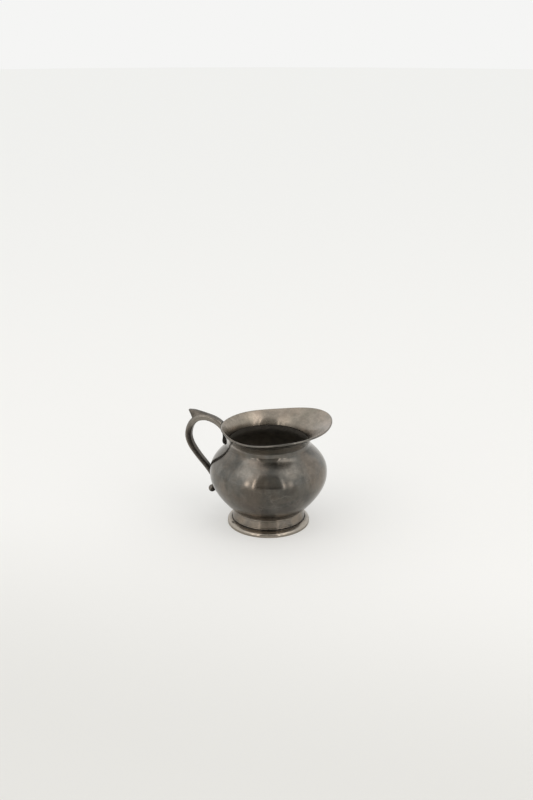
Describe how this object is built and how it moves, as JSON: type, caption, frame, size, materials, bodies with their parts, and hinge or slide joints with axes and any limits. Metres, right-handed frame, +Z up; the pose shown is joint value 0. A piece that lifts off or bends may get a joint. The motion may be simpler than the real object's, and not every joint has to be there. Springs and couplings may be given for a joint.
{
  "type": "cream jug",
  "caption": "Small bellied jug of turned pewter with a trumpet-flared lip that widens into a spout, a stepped foot and a scroll handle with a thumb spur.",
  "frame": {"origin": "on the axis of the body, in the plane that the flange stands on", "axes": "+Z up along the body's axis, +X from the handle to the spout, +Y across the jug"},
  "size_m": [0.1152, 0.09, 0.0855],
  "materials": {
    "turned_pewter": "turned, with a soft grey patina",
    "formed_pewter": "brushed round the axis, with a warm patina",
    "cast_pewter": "cast and filed, dark patina",
    "solder": "dull tin-lead solder"
  },
  "bodies": {
    "root": {"base_flange": "turned_pewter", "flange_solder": "solder", "foot_band": "turned_pewter", "foot_solder": "solder", "lower_bowl": "turned_pewter", "disc_solder": "solder", "base_disc": "turned_pewter", "belly_solder": "solder", "upper_bowl": "turned_pewter", "neck_solder": "solder", "collar": "formed_pewter", "handle": "cast_pewter", "upper_handle_solder": "solder", "lower_handle_solder": "solder"}
  },
  "joints": []
}
